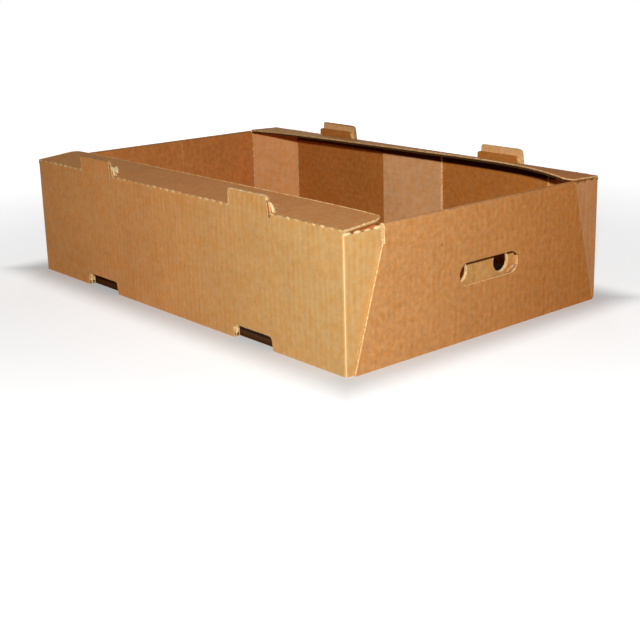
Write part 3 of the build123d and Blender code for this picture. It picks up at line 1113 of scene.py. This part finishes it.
FLUTED_EDGE = fluted_edge_tree()
FOLD_LIPS = lip_tree()
CUT_PAPER = raw_paper("cut_paper", CUT_BROWN, CUT_CREAM)
TUFT_PAPER = raw_paper("tuft_paper", CUT_CREAM, TUFT_CREAM)
SLIT_SHADE_PAPER = raw_paper("slit_shade_paper", SLIT_SHADE_BROWN, SLIT_SHADE_BROWN)
CURL_PAPER = raw_paper("curl_paper", tone(196, 138, 92), tone(216, 170, 124))
TAN_PAPER = raw_paper("tan_paper", tone(186, 128, 76), tone(210, 160, 106))
LIP_PAPER = raw_paper("lip_paper", tone(218, 168, 106), tone(240, 204, 148))
# Orange-brown of the front end flaps' inner lips, whose tone stands for the bounce-lit underside of the
# ledge in the gap there: painted light
BOUNCE_LIT_PAPER = raw_paper("bounce_lit_paper", tone(196, 112, 56), tone(216, 136, 74))

# Sizes for the trees, in metres: edges that the die has pressed, and lips of other kinds
PRESSED = {"Wave height": 0.0003, "Lip offset": 0.0009, "Paper radius": 0.00078, "Raggedness": 0.0007}
SLIM = {"Wave height": 0.0001, "Lip offset": 0.00015, "Paper radius": 0.0007, "Raggedness": 0.0004}
RIM = {"Wave height": 0.0003, "Lip offset": 0.0004, "Paper radius": 0.00042, "Raggedness": 0.0007}
TORN = {"Wave height": 0.0002, "Lip offset": 0.0006, "Paper radius": 0.00088, "Raggedness": 0.0016}


def lip_sizes(pitch, length, height, thickness, seed):
    """Sizes of one kind of lip, in metres, under the names of the tree's inputs."""
    names = ("Pitch", "Lip length", "Lip height", "Lip thickness", "Seed")
    return dict(zip(names, (pitch, length, height, thickness, seed)))


# Sizes of the dark lumps that stand for the shade in the fold's slits: painted shade
SLIT_SHADES = lip_sizes(0.0125, 0.0042, 0.0016, 0.0012, 3)
FLAP_LIPS = lip_sizes(0.0102, 0.0104, 0.0036, 0.0012, 5)
FLAP_BACKS = lip_sizes(0.0085, 0.0150, 0.0075, 0.0010, 9)
POST_LIPS = lip_sizes(0.010, 0.0020, 0.0066, 0.0020, 11)
SLIT_PLACE = (0.35, 2.1)  # below the fold and in from the wall's face, in millimetres
SLIT_LAG = 6.2  # along the fold, from a lip to the slit beside it

# What differs between the long walls: where the fold's lips lie and their sizes, and the papers
SIDES = {
    -1: {
        "name": "front",
        "lip place": (0.3, 0.7),
        "lips": lip_sizes(0.0125, 0.0090, 0.0031, 0.0017, 7),
        "rim": CUT_PAPER,
        "flap tops": TUFT_PAPER,
        "flap backs": BOUNCE_LIT_PAPER,
    },
    1: {
        "name": "back",
        "lip place": (0.7, 1.0),
        "lips": lip_sizes(0.0125, 0.0090, 0.0020, 0.0014, 7),
        "rim": LIP_PAPER,
        "flap tops": TAN_PAPER,
        "flap backs": TAN_PAPER,
    },
}


def wall_pieces(side):
    """The added pieces of one long wall, each with its material slot."""
    looks = SIDES[side]
    ending = "_" + looks["name"]
    slim, flap_tops, flap_backs, creases = [], [], [], []
    for end in (-1, 1):
        slim += corner_cuts(end, side)
        flap_tops.append(flap_top_lips(end, side, 0.5, 0.6, 5.0))
        flap_backs.append(flap_top_lips(end, side, 3.2, 1.4, 10.0))
        creases.append(crease_run(end, side))
    far_tab, near_tab = [tab_edge(side, centre) for centre in TAB_CENTRES[side]]
    plan = [
        ("cut_edges", wall_cuts(side) + ledge_cuts(side), FLUTED_EDGE, CUT_PAPER),
        ("ledge_rim", [ledge_rim(side)], FLUTED_EDGE, looks["rim"], RIM),
        ("pressed_edges", [near_tab] + ply_edges(side), FLUTED_EDGE, CUT_PAPER, PRESSED),
        ("dull_edges", [far_tab], FLUTED_EDGE, TAN_PAPER, PRESSED),
        ("slim_edges", slim, FLUTED_EDGE, CUT_PAPER, SLIM),
        ("fold_lips", fold_runs(side, *looks["lip place"]), FOLD_LIPS, LIP_PAPER, looks["lips"]),
        # dark lumps for the shade in the fold's slits: painted shade
        ("fold_slits", fold_runs(side, *SLIT_PLACE, SLIT_LAG), FOLD_LIPS, SLIT_SHADE_PAPER, SLIT_SHADES),
        ("flap_tops", flap_tops, FOLD_LIPS, looks["flap tops"], FLAP_LIPS),
        # The inner lips close the gap under each ledge end; the front ones take a tone that stands for
        # the bounce-lit underside of the ledge: painted light
        ("flap_backs", flap_backs, FOLD_LIPS, looks["flap backs"], FLAP_BACKS),
        ("post_creases", creases, FOLD_LIPS, CUT_PAPER, POST_LIPS),
    ]
    made = [(grow(name + ending, *how), "kraft_panel") for name, *how in plan]
    at_front = side < 0
    if at_front:
        torn = [torn_tab(side, centre) for centre in SHORT_CENTRES[side]]
        made.append((grow("torn_tabs" + ending, torn, FLUTED_EDGE, TUFT_PAPER, TORN), "kraft_body"))
    made.append((crumpled_bits("notch_tufts" + ending, notch_lumps(side), CUT_PAPER), "kraft_panel"))
    if at_front:
        made.append((crumpled_bits("tab_tuft" + ending, [tab_lump(side)], TUFT_PAPER), "kraft_body"))
    return made


hole_lines, slot_lines = hole_rims(-1) + hole_rims(1), [slot_rim(-1), slot_rim(1)]
pieces = [
    (grow("pressed_edges_ends", hole_lines, FLUTED_EDGE, CUT_PAPER, PRESSED), "kraft_body"),
    (grow("slim_edges_ends", slot_lines, FLUTED_EDGE, LIP_PAPER, SLIM), "kraft_body"),
]
pieces += wall_pieces(-1) + wall_pieces(1)
pieces += [(slot_curl(end, CURL_PAPER), "kraft_body") for end in (-1, 1)]
for piece, slot in pieces:
    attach(piece, "root")


def seen_by_camera(bench):
    """1 for what the camera sees, also in a mirror or through glass."""
    rays = bench.node("ShaderNodeLightPath").outputs
    return bench.either(rays["Is Camera Ray"], rays["Is Glossy Ray"], rays["Is Transmission Ray"])


FLOOR_PALE, FLOOR_PAINTED_SHADE = (0.60, 0.60, 0.60, 1.0), (0.08, 0.05, 0.035, 1.0)


def pale_floor():
    """A pale floor that keeps the tray's shadow and goes over into the white background.

    It isn't plain: a patch under the tray's back half and just behind it is painted dark brown as
    shade and has no lift, so the floor seen through a finger hole and a back notch reads dark. From
    behind it shows as a dark strip that isn't a cast shadow.
    """
    made, bench = new_material("pale_floor")
    where = bench.node("ShaderNodeTexCoord").outputs["Object"]
    spot = bench.node("ShaderNodeSeparateXYZ", {0: where}).outputs
    past_end, past_wall = [
        bench.minus(bench.calc("ABSOLUTE", spot[axis]), half / 1000)
        for axis, half in ((0, HALF_LENGTH), (1, HALF_WIDTH))
    ]
    painted_shade_patch = bench.both(
        bench.over(spot[1], 0.0),
        bench.without(bench.step(past_wall, 0.04, 0.08)),
        bench.without(bench.step(past_end, -0.14, -0.10)),
    )
    # The camera-only glow is weaker within 60 mm of the tray's sides, a painted soft shadow round its
    # foot, and grows towards white further out
    beside = bench.step(bench.either(past_end, past_wall), 0.0, 0.06)
    off_tray = bench.node("ShaderNodeVectorMath", {0: where}, operation="LENGTH").outputs["Value"]
    lift = bench.scale_add(beside, 0.42, 0.20)
    lift = bench.scale_add(bench.step(off_tray, 0.3, 1.2), 0.35, lift)
    shader = bench.node(
        "ShaderNodeBsdfPrincipled",
        {
            "Base Color": bench.blend(painted_shade_patch, FLOOR_PALE, FLOOR_PAINTED_SHADE),
            "Roughness": 0.9,
            "Specular IOR Level": 0.0,
            "Emission Color": (1.0, 1.0, 1.0, 1.0),
            "Emission Strength": bench.both(seen_by_camera(bench), lift, bench.without(painted_shade_patch)),
        },
    )
    bench.node("ShaderNodeOutputMaterial", {"Surface": shader.outputs[0]})
    return made


FLOOR_HALF = 6.0  # in metres
floor_mesh = bpy.data.meshes.new("floor")
corners = [(x * FLOOR_HALF, y * FLOOR_HALF, 0.0) for x, y in ((-1, -1), (1, -1), (1, 1), (-1, 1))]
floor_mesh.from_pydata(corners, [], [(0, 1, 2, 3)])
floor_mesh.materials.append(pale_floor())
floor = bpy.data.objects.new("floor", floor_mesh)
bpy.context.collection.objects.link(floor)

# World: white where the camera sees it, a low even light elsewhere
world = bpy.data.worlds.new("studio")
bpy.context.scene.world = world
world.use_nodes = True
world.node_tree.nodes.clear()
bench = Bench(world.node_tree)
strength = bench.choose(seen_by_camera(bench), 0.08, 1.0)
sky = bench.node("ShaderNodeBackground", {"Color": (1.0, 1.0, 1.0, 1.0), "Strength": strength})
bench.node("ShaderNodeOutputWorld", {"Surface": sky.outputs[0]})


def add_lamp(name, place, target, size, power):
    lamp = bpy.data.lights.new(name, "AREA")
    lamp.shape = "DISK"
    lamp.size = size
    lamp.energy = power
    holder = bpy.data.objects.new(name, lamp)
    holder.location = place
    holder.rotation_euler = (Vector(target) - Vector(place)).to_track_quat("-Z", "Y").to_euler()
    bpy.context.collection.objects.link(holder)


add_lamp("key_lamp", (1.11, -0.92, 0.575), (0.05, -0.05, 0.08), 0.06, 17.2)
add_lamp("back_lamp", (-1.5, 1.4, 0.75), (0.0, 0.0, 0.1), 1.2, 9.0)

# Camera: eye point, its axes and its lens, from the photograph's perspective
eye = Vector((1.106347, -0.907210, 0.394892))
right = Vector((0.676796, 0.736007, -0.015479))
up = Vector((-0.183871, 0.189364, 0.964538))
back = right.cross(up)
camera_data = bpy.data.cameras.new("camera")
camera_data.sensor_width = 36.0
camera_data.lens = 66.73
camera_data.shift_x = -0.0714
camera_data.shift_y = -0.0669
camera = bpy.data.objects.new("camera", camera_data)
turn = Matrix((right, up, back)).transposed().to_4x4()
camera.matrix_world = Matrix.Translation(eye) @ turn
bpy.context.collection.objects.link(camera)
bpy.context.scene.camera = camera

bpy.context.scene.view_settings.view_transform = "Standard"
